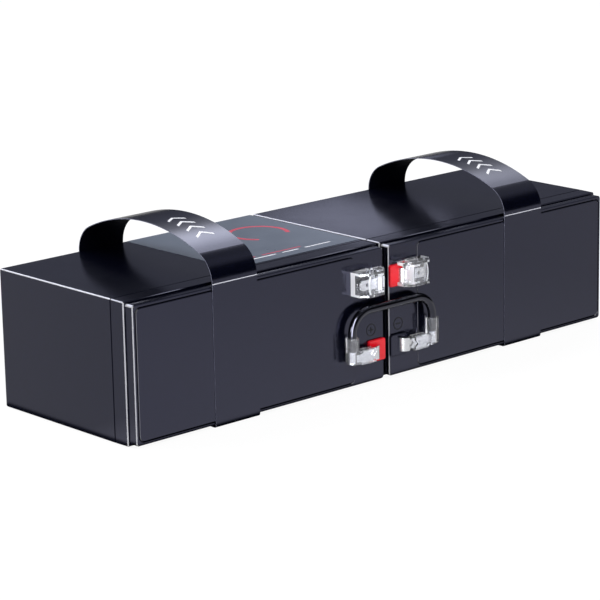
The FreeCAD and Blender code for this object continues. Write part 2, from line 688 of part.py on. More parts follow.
def terminal_shroud(side, place):
    """Clear box round the upper tab, open outward, where the supply's own lead plugs in."""
    body = start_body(side, "terminal_shroud", place)
    seal_edge = "battery_gap/2 + post_inset + seal_length/2 + shroud_play"
    seal_front = "-raised_height - seal_proud - shroud_play"
    back = "-raised_height - panel_proud"
    outline = start_sketch(body, "Outline", "XY_Plane")
    polygon(outline, (
        ("shroud_start", seal_front),
        (seal_edge, seal_front),
        (seal_edge, back),
        ("shroud_end", back),
        ("shroud_end", "-shroud_reach + shroud_mouth_cut"),
        ("shroud_end - shroud_mouth_cut", "-shroud_reach"),
        ("shroud_start + shroud_end_cut", "-shroud_reach"),
        ("shroud_start", "-shroud_reach + shroud_end_cut")))
    extrude(body, "Pad", outline, "shroud_height", middle=True)
    dress(body, "Fillet", "shroud_wall/4", lambda box: box.ZLength < 0.01)
    cavity = start_sketch(body, "Cavity", "XY_Plane")
    rectangle(cavity, "shroud_start + shroud_end_wall", "-shroud_reach + shroud_wall",
              "shroud_end + shroud_wall", back + " - shroud_back")
    extrude(body, "Pocket", cavity, "shroud_height - 2*shroud_wall", middle=True)
    mouth = start_sketch(body, "Mouth", "XZ_Plane", "shroud_reach")
    curved_end(mouth, "shroud_front_end", "shroud_bulge", "shroud_end + shroud_wall",
               "shroud_height/2 - shroud_wall")
    extrude(body, "Pocket", mouth, "shroud_wall + shroud_mouth_cut")
    slot = start_sketch(body, "Tab_slot", "XY_Plane")
    rectangle(slot, "shroud_start - shroud_wall", "-tab_plane - tab_thickness - shroud_play",
              "shroud_start + shroud_end_wall + shroud_play", "0")
    extrude(body, "Pocket", slot, "tab_root_width + 2*shroud_rise + 2*shroud_play", middle=True)
    window = start_sketch(body, "Window", "XY_Plane")
    rectangle(window, "window_start", "-shroud_reach - shroud_wall",
              "window_start + window_width", "-tab_plane")
    extrude(body, "Pocket", window, "tab_width + 4*shroud_play", middle=True)
    latches = start_sketch(body, "Latches", "XZ_Plane", "shroud_reach")
    for up in ("shroud_height/2 - shroud_wall - latch_height", "shroud_wall - shroud_height/2"):
        for number in range(2):
            start = "latch_start + %d*latch_width" % (2 * number)
            rectangle(latches, start, up, start + " + latch_width", up + " + latch_height")
    extrude(body, "Pocket", latches, "2*shroud_wall")
    return body


def flag_housing(side, place):
    """Clear elbow sleeve over a flag receptacle: one arm along the tab, one up the lead."""
    body = start_body(side, "flag_housing", place)
    outer = "lead_reach + lead_radius + lead_play + sleeve_wall"
    inner = "lead_reach - lead_radius - lead_play - sleeve_wall"
    outline = start_sketch(body, "Outline", "XZ_Plane", "tab_plane")
    polygon(outline, (
        ("sleeve_start", "-sleeve_mouth_height/2"),
        ("sleeve_neck", "-sleeve_neck_height/2"),
        (inner, "-sleeve_elbow_height/2"),
        (outer, "-sleeve_elbow_height/2"),
        (outer, "sleeve_top"),
        (inner, "sleeve_top"),
        (inner, "sleeve_elbow_height/2"),
        ("sleeve_neck", "sleeve_neck_height/2"),
        ("sleeve_start", "sleeve_mouth_height/2")))
    extrude(body, "Pad", outline, "sleeve_depth", middle=True)
    dress(body, "Fillet", "sleeve_heel",
          lambda box: upright(box) and near(box.XMin, outer) and box.ZMax < 0)
    low = value("sleeve_top") - 0.1
    start = value("sleeve_start") + 0.1
    dress(body, "Chamfer", "sleeve_bevel",
          lambda box: box.YLength < 0.01 and box.ZMin < low and box.XMax > start)

    arm = start_sketch(body, "Arm_cavity", "XZ_Plane", "tab_plane")
    wide = "receptacle_width/2 + receptacle_play"
    slim = "sleeve_elbow_height/2 - sleeve_wall"
    polygon(arm, (
        ("sleeve_start - sleeve_wall", "-(%s)" % wide),
        ("receptacle_end + sleeve_wall", "-(%s)" % wide),
        ("receptacle_end + 3*sleeve_wall", "-(%s)" % slim),
        ("lead_reach", "-(%s)" % slim),
        ("lead_reach", slim),
        ("receptacle_end + 3*sleeve_wall", slim),
        ("receptacle_end + sleeve_wall", wide),
        ("sleeve_start - sleeve_wall", wide)))
    extrude(body, "Pocket", arm, "2*(crimp_radius + receptacle_play)", middle=True)
    crimp = start_sketch(body, "Crimp_space", "XY_Plane", "sleeve_top")
    circle(crimp, "lead_reach", "-tab_plane", "crimp_radius + sleeve_wall/2")
    extrude(body, "Pocket", crimp, "sleeve_top + sleeve_elbow_height/2 - sleeve_wall")
    bore = start_sketch(body, "Lead_bore", "XY_Plane", "sleeve_top")
    circle(bore, "lead_reach", "-tab_plane", "lead_radius + lead_play")
    extrude(body, "Pocket", bore, "sleeve_top - insulation_start + lead_play")
    notch = start_sketch(body, "Mouth_notch", "XZ_Plane", "tab_plane")
    polygon(notch, (
        ("sleeve_start - sleeve_wall", "sleeve_notch + sleeve_wall"),
        ("sleeve_start - sleeve_wall", "-sleeve_notch - sleeve_wall"),
        ("sleeve_start + sleeve_notch", "0")))
    extrude(body, "Pocket", notch, "2*sleeve_depth", middle=True)
    return body


def flag_receptacle(side, place):
    """Tinned brass receptacle: rolled channel round the blade, neck, and crimp on the lead."""
    body = start_body(side, "flag_receptacle", place)
    channel = start_sketch(body, "Channel", "YZ_Plane", "receptacle_start")
    back = "-tab_plane + tab_thickness/2 + receptacle_play"
    front = "-tab_plane - tab_thickness/2 - receptacle_play"
    half = "receptacle_width/2"
    polygon(channel, (
        (back + " + receptacle_sheet", "-(%s)" % half),
        (back + " + receptacle_sheet", half),
        (front + " - receptacle_sheet", half),
        (front + " - receptacle_sheet", half + " - receptacle_lip"),
        (front, half + " - receptacle_lip"),
        (front, half + " - receptacle_sheet"),
        (back, half + " - receptacle_sheet"),
        (back, "-(%s) + receptacle_sheet" % half),
        (front, "-(%s) + receptacle_sheet" % half),
        (front, "-(%s) + receptacle_lip" % half),
        (front + " - receptacle_sheet", "-(%s) + receptacle_lip" % half),
        (front + " - receptacle_sheet", "-(%s)" % half)))
    extrude(body, "Pad", channel, "receptacle_end - receptacle_start")
    neck = start_sketch(body, "Neck", "XZ_Plane", "tab_plane - tab_thickness/2 - receptacle_play")
    polygon(neck, (
        ("receptacle_end - receptacle_sheet", "-(%s)" % half),
        ("receptacle_end", "-(%s)" % half),
        ("receptacle_end + 2*receptacle_sheet", "crimp_low"),
        ("lead_reach", "crimp_low"),
        ("lead_reach", "-crimp_low"),
        ("receptacle_end + 2*receptacle_sheet", "-crimp_low"),
        ("receptacle_end", half),
        ("receptacle_end - receptacle_sheet", half)))
    extrude(body, "Pad", neck, "receptacle_sheet", back=True)
    barrel = start_sketch(body, "Barrel", "XY_Plane", "crimp_low")
    circle(barrel, "lead_reach", "-tab_plane", "crimp_radius")
    extrude(body, "Pad", barrel, "crimp_high - crimp_low")
    bore = start_sketch(body, "Bore", "XY_Plane", "crimp_high")
    circle(bore, "lead_reach", "-tab_plane", "strand_radius")
    extrude(body, "Pocket", bore, "crimp_high - crimp_low")
    return body


def jumper_wire(place):
    """Series lead: up from one receptacle, over and down to the other, with bared ends."""
    reach = value("lead_reach")
    bend = value("lead_bend")
    start = value("insulation_start")
    top = value("lead_top")
    plane = -value("tab_plane")
    diagonal = bend * math.sqrt(0.5)

    def at(across, up):
        return Vector(across, plane, up)

    left = Part.Arc(at(-reach, top - bend),
                    at(-reach + bend - diagonal, top - bend + diagonal), at(bend - reach, top))
    right = Part.Arc(at(reach - bend, top),
                     at(reach - bend + diagonal, top - bend + diagonal), at(reach, top - bend))
    path = Part.Wire([
        Part.LineSegment(at(-reach, start), at(-reach, top - bend)).toShape(), left.toShape(),
        Part.LineSegment(at(bend - reach, top), at(reach - bend, top)).toShape(),
        right.toShape(), Part.LineSegment(at(reach, top - bend), at(reach, start)).toShape()])
    radius = value("lead_radius")
    section = Part.Wire(Part.makeCircle(radius, at(-reach, start), Vector(0, 0, 1)))
    tube = path.makePipeShell([section], True, True)
    swept = math.pi * radius ** 2 * path.Length
    print("series lead: bend radius %.1f mm, volume %.4f of section times length"
          % (bend, tube.Volume / swept))
    strand = start - value("crimp_low")
    ends = [Part.makeCylinder(value("strand_radius"), strand + radius,
                              at(across, start - strand), Vector(0, 0, 1))
            for across in (-reach, reach)]
    return solid_node("jumper_wire", tube.multiFuse(ends).removeSplitter(), place)


# ---------------------------------------------------------------- straps, label and foam tape

def pull_strap(side, middle):
    """Film strap stuck under the battery, up its front, over in a loop and down its back."""
    film = value("strap_film")
    front = -value("raised_height + panel_proud")
    back = value("case_depth")
    width = value("battery_width")
    corner = value("strap_corner")
    under = value("strap_turn_under")
    centre = (front + back) / 2
    half_span = (back - front) / 2
    rise = value("strap_rise")
    small = value("strap_shoulder")
    crown = (rise ** 2 + (half_span - small) ** 2 - small ** 2) / (2 * (rise - small))
    lean = math.atan2(half_span - small, crown - rise)

    def at(along, up):
        return Vector(0, along, up)

    def line(begin, finish):
        return Part.LineSegment(begin, finish).toShape()

    def arc(middle_along, middle_up, radius, begin, finish):
        """An arc about a centre, by angles in degrees from +Y towards +Z."""
        points = [at(middle_along + radius * math.cos(angle), middle_up + radius * math.sin(angle))
                  for angle in (begin, (begin + finish) / 2, finish)]
        return Part.Arc(*points).toShape()

    half_turn = math.pi
    quarter = math.pi / 2
    joint = quarter - lean
    left_joint = at(centre - half_span + small - small * math.cos(joint),
                    width + small * math.sin(joint))
    edges = [
        line(at(front + under, 0), at(front + corner, 0)),
        arc(front + corner, corner, corner, -quarter, -half_turn),
        line(at(front, corner), at(front, width)),
        arc(front + small, width, small, half_turn, half_turn - joint),
        arc(centre, width + rise - crown, crown, quarter + lean, quarter - lean),
        arc(back - small, width, small, joint, 0),
        line(at(back, width), at(back, corner)),
        arc(back - corner, corner, corner, 0, -quarter),
        line(at(back - corner, 0), at(back - under, 0))]
    gap = left_joint.distanceToPoint(edges[4].Vertexes[0].Point)
    if gap > 0.001:
        raise ValueError("the strap's loop is not tangent")
    outline = Part.Wire(edges).makeOffset2D(-film, join=0, fill=True, openResult=True)
    shape = Part.Face(outline.Wires[0]).extrude(Vector(value("strap_width"), 0, 0))
    return solid_node(side + "pull_strap", shape, Placement(
        Vector(middle - value("strap_width") / 2, value(SHOULDER), film), Rotation()))


def battery_label(place):
    """Plain printed film on the left battery's upper side."""
    body = start_body("battery_", "label", place)
    outline = start_sketch(body, "Outline", "XY_Plane", "battery_width")
    rectangle(outline, "label_start", "label_front", "battery_length - corner_round",
              "label_back")
    extrude(body, "Pad", outline, "label_film")
    dress(body, "Fillet", "label_corner", lambda box: box.XLength < 0.01 and box.YLength < 0.01)
    return body


def joining_foam():
    """Two strips of foam tape that fill the gap between the batteries."""
    strips = []
    for row in range(2):
        strip = doc.addObject("Part::Box", "Strip")
        strip.setExpression("Length", cells("battery_gap"))
        strip.setExpression("Width", cells("foam_depth"))
        strip.setExpression("Height", cells("foam_width"))
        strip.Placement.Base = Vector(
            value("-battery_gap/2"), value(SHOULDER + " + foam_setback"),
            value("strap_film + battery_width/2 - foam_width/2 + (%d - 1/2)*(%s)"
                  % (row, ROW_PITCH)))
        strips.append(strip)
    group = doc.addObject("Part::Compound", "joining_foam")
    group.Links = strips
    return group


# ---------------------------------------------------------------- the cartridge

def battery(side, place):
    """Every piece of one battery, in the battery's own frame."""
    nodes = [container(side, place), lid(side, place), vent_cover(side, place),
             valve_caps(side, place), plate_groups(side, place), separators(side, place)]
    for sign, height in (("positive", LOW_TERMINAL), ("negative", HIGH_TERMINAL)):
        raised = place * Placement(Vector(0, 0, value(height)), Rotation())
        metal = tab(side, sign, raised)
        nodes += [metal, terminal_seal(side, sign, raised, metal)]
    return nodes


def cartridge():
    half = value(PAIR_MIDDLE)
    shoulder = value(SHOULDER)
    film = value("strap_film")
    nodes = battery("left_", Placement(Vector(-half, shoulder, film), Rotation()))
    nodes += battery("right_", Placement(
        Vector(half, shoulder, film + value("battery_width")), ABOUT_Y))

    high = film + value(HIGH_TERMINAL + " + shroud_rise")
    low = film + value(LOW_TERMINAL)
    plane = value("tab_plane")
    nodes += [
        terminal_shroud("left_", Placement(Vector(0, shoulder, high), ABOUT_Y)),
        terminal_shroud("right_", Placement(Vector(0, shoulder, high), Rotation()))]
    for side, place in (
            ("left_", Placement(Vector(0, shoulder - 2 * plane, low), ABOUT_Z)),
            ("right_", Placement(Vector(0, shoulder, low), Rotation()))):
        nodes += [flag_housing(side, place), flag_receptacle(side, place)]
    nodes += [
        jumper_wire(Placement(Vector(0, shoulder, low), Rotation())),
        pull_strap("left_", -value("strap_place")), pull_strap("right_", value("strap_place")),
        battery_label(Placement(Vector(-half, shoulder, film), Rotation())), joining_foam()]
    return nodes


def export(nodes):
    """Check the whole document, then write one file for each node."""
    doc.recompute()
    for item in doc.Objects:
        if "Invalid" in item.State or "Error" in item.State:
            raise ValueError("%s (%s) failed: %s" % (item.Label, item.Name, item.State))
    for node in nodes:
        if node.Shape.isNull() or not node.Shape.isValid() or not node.Shape.Solids:
            raise ValueError("no valid solid in " + node.Label)
    os.makedirs("parts", exist_ok=True)
    for node in nodes:
        node.Shape.exportStep("parts/%s.step" % node.Label)
        box = node.Shape.BoundBox
        print("%-24s %3d solids  %10.1f mm3  %s" % (
            node.Label, len(node.Shape.Solids), node.Shape.Volume,
            " ".join("%.2f" % bound for bound in (
                box.XMin, box.XMax, box.YMin, box.YMax, box.ZMin, box.ZMax))))


doc = FreeCAD.newDocument("BatteryCartridge")
sheet = make_sheet()
export(cartridge())
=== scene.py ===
"""Battery cartridge for an uninterruptible power supply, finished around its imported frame.

Metres, +Z up, lids and terminals towards -Y, the pair of batteries along X.
"""
import math

import bmesh
import bpy
from mathutils import Matrix, Vector


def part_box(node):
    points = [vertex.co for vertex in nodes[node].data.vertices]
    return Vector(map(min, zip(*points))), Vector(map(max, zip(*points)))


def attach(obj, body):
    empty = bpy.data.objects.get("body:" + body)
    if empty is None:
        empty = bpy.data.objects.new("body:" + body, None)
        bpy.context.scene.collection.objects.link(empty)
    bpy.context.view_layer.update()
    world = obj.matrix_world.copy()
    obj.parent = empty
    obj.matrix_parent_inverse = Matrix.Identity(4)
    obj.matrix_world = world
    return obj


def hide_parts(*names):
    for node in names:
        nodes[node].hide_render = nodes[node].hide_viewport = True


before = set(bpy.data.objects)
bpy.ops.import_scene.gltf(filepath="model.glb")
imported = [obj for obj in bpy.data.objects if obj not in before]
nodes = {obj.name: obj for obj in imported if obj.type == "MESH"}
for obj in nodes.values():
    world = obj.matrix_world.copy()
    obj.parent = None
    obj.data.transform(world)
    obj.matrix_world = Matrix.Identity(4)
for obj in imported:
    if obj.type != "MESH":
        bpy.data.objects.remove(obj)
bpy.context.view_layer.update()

# ---- Camera: a long lens from the upper left of the lids, which keeps the far end almost as
# large as the near end.
CAMERA_PLACE = (-0.8140, -0.8791, 0.3399)
CAMERA_YAW = 0.7374
CAMERA_TILT = 0.2521
CAMERA_ROLL = -0.0196
CAMERA_LENS_MM = 155.13
SENSOR_WIDTH_MM = 36.0
CAMERA_REACH = 100.0

camera_data = bpy.data.cameras.new("camera")
camera_data.lens = CAMERA_LENS_MM
camera_data.sensor_width = SENSOR_WIDTH_MM
camera_data.clip_end = CAMERA_REACH
camera = bpy.data.objects.new("camera", camera_data)
bpy.context.scene.collection.objects.link(camera)
camera.location = CAMERA_PLACE
camera.rotation_euler = (
    Matrix.Rotation(-CAMERA_YAW, 3, "Z") @ Matrix.Rotation(math.pi / 2 - CAMERA_TILT, 3, "X")
    @ Matrix.Rotation(CAMERA_ROLL, 3, "Z")).to_euler()
bpy.context.scene.camera = camera
bpy.context.scene.view_settings.view_transform = "Standard"


# ---- Studio: a white paper floor under a cool surround, dark at the horizon, pale overhead and
# behind. Black mouldings show what they mirror: the floor in their sides, the horizon in their
# tops.
FLOOR_HALF_SIZE = 6.0
FLOOR_DROP = 0.0002
PAPER_WHITE = "#f4f4f4"
PAPER_GLOW = 1.05
SHADOW_SHARE = 0.12
# Each fade is two pairs: a place and the glow there.
GLOW_ALONG = ((-0.05, 0.95), (0.22, 0.70))
GLOW_BACK = ((-0.03, 1.0), (0.0, 0.62))
FOOTPRINT_HALF = (0.1518, 0.0472)
FOOTPRINT_MIDDLE_Y = 0.0041
# Painted contact shadow: the floor's glow to mirrored rays dims near the footprint.
CONTACT_SHADE = ((0.0042, 0.04), (0.0066, 1.0))
COOL_TINT = "#dfe3ff"
SURROUND_LEVELS = ((0.0, 0.05), (0.2, 0.13), (0.34, 0.2))
OVERHEAD_TINT = "#f2f5ff"
OVERHEAD_LEVELS = ((0.5, 0.7), (0.64, 6.0), (0.72, 6.0), (0.88, 1.0), (1.0, 1.0))
SURROUND_BEHIND = ((0.2, 0.06), (0.5, 1.0))
# The card hangs level behind the right battery, measured from its case.
CARD_ALONG = (0.078, 0.150)
CARD_BEHIND = (0.005, 0.100)
CARD_RISE = 0.030
CARD_GLOW = 0.72


def linear(code):
    """An sRGB hex colour as the linear values that shaders want."""
    parts = [int(code[place:place + 2], 16) / 255 for place in (1, 3, 5)]
    return [part / 12.92 if part <= 0.04045 else ((part + 0.055) / 1.055) ** 2.4
            for part in parts] + [1.0]


def add_node(tree, kind, settings=None, links=None):
    """Add one shader node; settings go to its fields or inputs, links join its inputs."""
    node = tree.nodes.new(kind)
    for name, given in (settings or {}).items():
        if isinstance(name, str) and hasattr(node, name):
            setattr(node, name, given)
        else:
            node.inputs[name].default_value = given
    for name, source in (links or {}).items():
        tree.links.new(source, node.inputs[name])
    return node


def between(low, high):
    """Settings of a fade: two pairs of a place and the value there."""
    return {"From Min": low[0], "From Max": high[0], "To Min": low[1], "To Max": high[1]}


def bare_material(name):
    """A material with an empty node tree."""
    material = bpy.data.materials.new(name)
    material.use_nodes = True
    material.node_tree.nodes.clear()
    return material, material.node_tree


def place_mesh(mesh, name, material):
    """Turn a finished bmesh into an object with one finish."""
    data = bpy.data.meshes.new(name)
    mesh.to_mesh(data)
    mesh.free()
    data.materials.append(material)
    item = bpy.data.objects.new(name, data)
    bpy.context.scene.collection.objects.link(item)
    return item


def add_rectangle(mesh, low, high, level=0.0):
    """A level rectangle between two corners, facing up."""
    bmesh.ops.create_grid(mesh, x_segments=1, y_segments=1, size=1, matrix=(
        Matrix.Translation(((low[0] + high[0]) / 2, (low[1] + high[1]) / 2, level))
        @ Matrix.Diagonal(((high[0] - low[0]) / 2, (high[1] - low[1]) / 2, 1, 1))))


def seen_directly(tree):
    """The light path, and one for rays from the camera or through clear pieces."""
    path = add_node(tree, "ShaderNodeLightPath")
    either = add_node(tree, "ShaderNodeMath", {"operation": "MAXIMUM"},
                      {0: path.outputs["Is Camera Ray"], 1: path.outputs["Is Transmission Ray"]})
    return path, either.outputs[0]


def footprint_clearance(tree, spot):
    """How far a place on the floor lies outside the cartridge's footprint."""
    middle = add_node(tree, "ShaderNodeMath", {"operation": "SUBTRACT", 1: FOOTPRINT_MIDDLE_Y},
                      {0: spot.outputs["Y"]})
    outside = []
    for across, half in zip((spot.outputs["X"], middle.outputs[0]), FOOTPRINT_HALF):
        size = add_node(tree, "ShaderNodeMath", {"operation": "ABSOLUTE"}, {0: across})
        outside.append(add_node(tree, "ShaderNodeMath", {"operation": "SUBTRACT", 1: half},
                                {0: size.outputs[0]}))
    return add_node(tree, "ShaderNodeMath", {"operation": "MAXIMUM"},
                    {0: outside[0].outputs[0], 1: outside[1].outputs[0]}).outputs[0]


def paper_glow(tree, direct):
    """White to direct rays; mirrored, it fades right and behind, with a painted contact shadow."""
    here = add_node(tree, "ShaderNodeNewGeometry").outputs["Position"]
    spot = add_node(tree, "ShaderNodeSeparateXYZ", {}, {0: here})
    along = add_node(tree, "ShaderNodeMapRange", between(*GLOW_ALONG),
                     {"Value": spot.outputs["X"]})
    back = add_node(tree, "ShaderNodeMapRange", between(*GLOW_BACK), {"Value": spot.outputs["Y"]})
    fade = add_node(tree, "ShaderNodeMath", {"operation": "MULTIPLY"},
                    {0: along.outputs[0], 1: back.outputs[0]})
    shade = add_node(tree, "ShaderNodeMapRange", between(*CONTACT_SHADE),
                     {"Value": footprint_clearance(tree, spot)})
    shaded = add_node(tree, "ShaderNodeMath", {"operation": "MULTIPLY"},
                      {0: fade.outputs[0], 1: shade.outputs[0]})
    plain = add_node(tree, "ShaderNodeMath", {"operation": "MULTIPLY", 1: PAPER_GLOW},
                     {0: direct})
    return add_node(tree, "ShaderNodeMath", {"operation": "MAXIMUM"},
                    {0: shaded.outputs[0], 1: plain.outputs[0]}).outputs[0]


def make_floor():
    """Matt paper that keeps the cartridge's shadow and looks white beyond it."""
    paper, tree = bare_material("matt_white_paper")
    path, direct = seen_directly(tree)
    share = add_node(tree, "ShaderNodeMath", {"operation": "MULTIPLY", 1: 1 - SHADOW_SHARE},
                     {0: direct})
    either = add_node(tree, "ShaderNodeMath", {"operation": "MAXIMUM"},
                      {0: share.outputs[0], 1: path.outputs["Is Glossy Ray"]})
    matt = add_node(tree, "ShaderNodeBsdfDiffuse", {"Color": linear(PAPER_WHITE)})
    glow = add_node(tree, "ShaderNodeEmission", {}, {"Strength": paper_glow(tree, direct)})
    mix = add_node(tree, "ShaderNodeMixShader", {},
                   {0: either.outputs[0], 1: matt.outputs[0], 2: glow.outputs[0]})
    add_node(tree, "ShaderNodeOutputMaterial", {}, {"Surface": mix.outputs[0]})
    mesh = bmesh.new()
    add_rectangle(mesh, (-FLOOR_HALF_SIZE, -FLOOR_HALF_SIZE), (FLOOR_HALF_SIZE, FLOOR_HALF_SIZE),
                  -FLOOR_DROP)
    place_mesh(mesh, "paper_floor", paper)


def make_surround():
    """Levels by height, full behind and faint in front; plain white where seen directly."""
    world = bpy.data.worlds.new("studio_surround")
    world.use_nodes = True
    tree = world.node_tree
    tree.nodes.clear()
    direction = add_node(tree, "ShaderNodeTexCoord")
    height = add_node(tree, "ShaderNodeSeparateXYZ", {}, {0: direction.outputs["Generated"]})
    level = add_node(tree, "ShaderNodeValToRGB", {}, {0: height.outputs["Z"]})
    stops = level.color_ramp.elements
    tinted = ([(rise, strength, COOL_TINT) for rise, strength in SURROUND_LEVELS]
              + [(rise, strength, OVERHEAD_TINT) for rise, strength in OVERHEAD_LEVELS])
    while len(stops) < len(tinted):
        stops.new(0.5)
    for stop, (rise, strength, code) in zip(stops, tinted):
        stop.position = rise
        stop.color = [strength * part for part in linear(code)[:3]] + [1]
    behind = add_node(tree, "ShaderNodeMapRange", between(*SURROUND_BEHIND),
                      {"Value": height.outputs["Y"]})
    surround = add_node(tree, "ShaderNodeBackground", {},
                        {"Color": level.outputs[0], "Strength": behind.outputs[0]})
    plain = add_node(tree, "ShaderNodeBackground", {"Color": (1, 1, 1, 1), "Strength": 1.0})
    mix = add_node(tree, "ShaderNodeMixShader", {},
                   {0: seen_directly(tree)[1], 1: surround.outputs[0], 2: plain.outputs[0]})
    add_node(tree, "ShaderNodeOutputWorld", {}, {"Surface": mix.outputs[0]})
    bpy.context.scene.world = world


def add_area_lamp(name, place, width, height, watts, aim=(0, 0, 0), glossy=True, diffuse=True):
    """A lit rectangle that faces a place; it may skip mirror-like or matt surfaces."""
    data = bpy.data.lights.new(name, "AREA")
    data.shape = "RECTANGLE"
    data.size = width
    data.size_y = height
    data.energy = watts
    lamp = bpy.data.objects.new(name, data)
    bpy.context.scene.collection.objects.link(lamp)
    lamp.location = place
    lamp.rotation_euler = (Vector(aim) - Vector(place)).to_track_quat("-Z", "Y").to_euler()
    lamp.visible_glossy = glossy
    lamp.visible_diffuse = diffuse
    return lamp


def add_card(name, low, high, level, code, strength):
    """A level lit card that only mirror-like surfaces see."""
    glow, tree = bare_material("lit_white_card")
    light = add_node(tree, "ShaderNodeEmission",
                     {"Color": linear(code), "Strength": strength})
    add_node(tree, "ShaderNodeOutputMaterial", {}, {"Surface": light.outputs[0]})
    mesh = bmesh.new()
    add_rectangle(mesh, low, high, level)
    card = place_mesh(mesh, name, glow)
    card.visible_camera = False
    card.visible_shadow = False
    card.visible_diffuse = False
    card.visible_transmission = False


case_back, case_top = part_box("left_container")[1][1:]
make_floor()
make_surround()
add_card("top_card", low=(CARD_ALONG[0], case_back + CARD_BEHIND[0]),
         high=(CARD_ALONG[1], case_back + CARD_BEHIND[1]), level=case_top + CARD_RISE,
         code=COOL_TINT, strength=CARD_GLOW)
add_area_lamp("low_left", place=(-2.0, -0.1, 0.45), width=0.8, height=0.6, watts=26)
add_area_lamp("front_fill", place=(-0.4, -2.0, 1.5), width=1.2, height=1.2, watts=40,
              glossy=False)

# ---- Case, lid and vent cover of both batteries: near-black ABS, injection moulded in polished
# tools, so it mirrors softly with a blue cast; its moulded corners get a painted highlight, pale
# grey.
ABS_BLACK = "#04050f"
ABS_CAST = "#d3d5ff"
ABS_INDEX = 1.62
# Painted highlight: the pale grey painted on the moulded corners' bevels.
BEVEL_HIGHLIGHT_GREY = "#d6d6d8"
# A bevel between an axis taken either way and an axis taken in the sense that follows it.
END_TOPS = ("X", "Z", 1)
FRONT_UPRIGHTS = ("X", "Y", -1)
SEAM_TOPS = ("Y", "Z", 1)
BEVEL_FACING = ((0.15, 0.0), (0.4, 1.0))
SEAM_SHINE = ((0.0, 0.5), (1.0, 0.03))
MOULD_RIPPLE_MM = 9.0
RIPPLE_GLOSS = (-0.02, 0.03)
FINE_GRAIN_MM = 0.35
GRAIN_SHARE = 0.05
GRAIN_DEPTH = 0.0001


def new_material(name):
    """A named material with its node tree, its shader and its object coordinates."""
    material = bpy.data.materials.new(name)
    material.use_nodes = True
    tree = material.node_tree
    place = add_node(tree, "ShaderNodeTexCoord").outputs["Object"]
    return material, tree, tree.nodes["Principled BSDF"], place


def surface_facing(tree):
    """The three parts of the way that a surface faces."""
    normal = add_node(tree, "ShaderNodeNewGeometry").outputs["Normal"]
    return add_node(tree, "ShaderNodeSeparateXYZ", {}, {0: normal}).outputs


def cool_mirror(shader, cast=ABS_CAST):
    """Reflections with the blue cast of carbon-black plastic."""
    shader.inputs["IOR"].default_value = ABS_INDEX
    shader.inputs["Specular Tint"].default_value = linear(cast)


def mirror_finish(tree, shader, place, roughness):
    """Polished black plastic: even ripples of gloss and a very fine grain."""
    cool_mirror(shader)
    ripple = add_node(tree, "ShaderNodeTexNoise",
                      {"Scale": 1000 / MOULD_RIPPLE_MM, "Detail": 2.0}, {"Vector": place})
    grain = add_node(tree, "ShaderNodeTexNoise",
                     {"Scale": 1000 / FINE_GRAIN_MM, "Detail": 1.0}, {"Vector": place})
    sheen = add_node(tree, "ShaderNodeMapRange",
                     {"To Min": roughness + RIPPLE_GLOSS[0], "To Max": roughness + RIPPLE_GLOSS[1]},
                     {"Value": ripple.outputs["Fac"]})
    wave = add_node(tree, "ShaderNodeBump", {"Strength": GRAIN_SHARE, "Distance": GRAIN_DEPTH},
                    {"Height": grain.outputs["Fac"]})
    tree.links.new(wave.outputs[0], shader.inputs["Normal"])
    return sheen.outputs[0]


def on_bevels(tree, facing, pairs):
    """One on the bevels that the pairs name, nought on flat sides."""
    corner = None
    for either_way, one_way, sense in pairs:
        size = add_node(tree, "ShaderNodeMath", {"operation": "ABSOLUTE"},
                        {0: facing[either_way]})
        signed = add_node(tree, "ShaderNodeMath", {"operation": "MULTIPLY", 1: sense},
                          {0: facing[one_way]})
        size = add_node(tree, "ShaderNodeMath", {"operation": "MULTIPLY"},
                        {0: size.outputs[0], 1: signed.outputs[0]}).outputs[0]
        corner = size if corner is None else add_node(
            tree, "ShaderNodeMath", {"operation": "MAXIMUM"}, {0: corner, 1: size}).outputs[0]
    return add_node(tree, "ShaderNodeMapRange", between(*BEVEL_FACING),
                    {"Value": corner}).outputs[0]


def polished_abs(name, roughness, corners, highlight_share, seams=()):
    """Polished plastic, a painted highlight on bevels that corners name, dull on those of seams."""
    material, tree, shader, place = new_material(name)
    sheen = mirror_finish(tree, shader, place, roughness)
    tree.links.new(sheen, shader.inputs["Roughness"])
    facing = surface_facing(tree)
    # Painted highlight: the named bevels are mixed towards pale grey.
    share = add_node(tree, "ShaderNodeMath", {"operation": "MULTIPLY", 1: highlight_share},
                     {0: on_bevels(tree, facing, corners)})
    colour = add_node(tree, "ShaderNodeMix", {"data_type": "RGBA", 6: linear(ABS_BLACK),
                                              7: linear(BEVEL_HIGHLIGHT_GREY)}, {0: share.outputs[0]})
    tree.links.new(colour.outputs[2], shader.inputs["Base Color"])
    if seams:
        shine = add_node(tree, "ShaderNodeMapRange", between(*SEAM_SHINE),
                         {"Value": on_bevels(tree, facing, seams)})
        tree.links.new(shine.outputs[0], shader.inputs["Specular IOR Level"])
    return material


def dress(node_name, material):
    """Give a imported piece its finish; its shape stays as it is."""
    piece = nodes[node_name]
    piece.data.materials.clear()
    piece.data.materials.append(material)


case_abs = polished_abs("polished_black_abs_case", 0.16, (END_TOPS,), 0.7,
                        (FRONT_UPRIGHTS, SEAM_TOPS))
lid_abs = polished_abs("polished_black_abs_lid", 0.15, (END_TOPS, FRONT_UPRIGHTS), 0.5)
cover_abs = polished_abs("polished_black_abs_cover", 0.13, (END_TOPS, FRONT_UPRIGHTS), 0.12)
for side in ("left_", "right_"):
    dress(side + "container", case_abs)
    dress(side + "lid", lid_abs)
    dress(side + "vent_cover", cover_abs)

# ---- Terminal seals: epoxy resin cast in the lid's wells round each tab, dyed red at plus and
# black at minus. It sets glossy, with a slight drift of tint and gloss where it flowed.
RESIN_RED = "#ee1526"
RESIN_BLACK = "#05060f"
FLOW_MM = 4.0
DARKEST_TINT = 0.82
GLOSS_DRIFT = (0.8, 1.2)


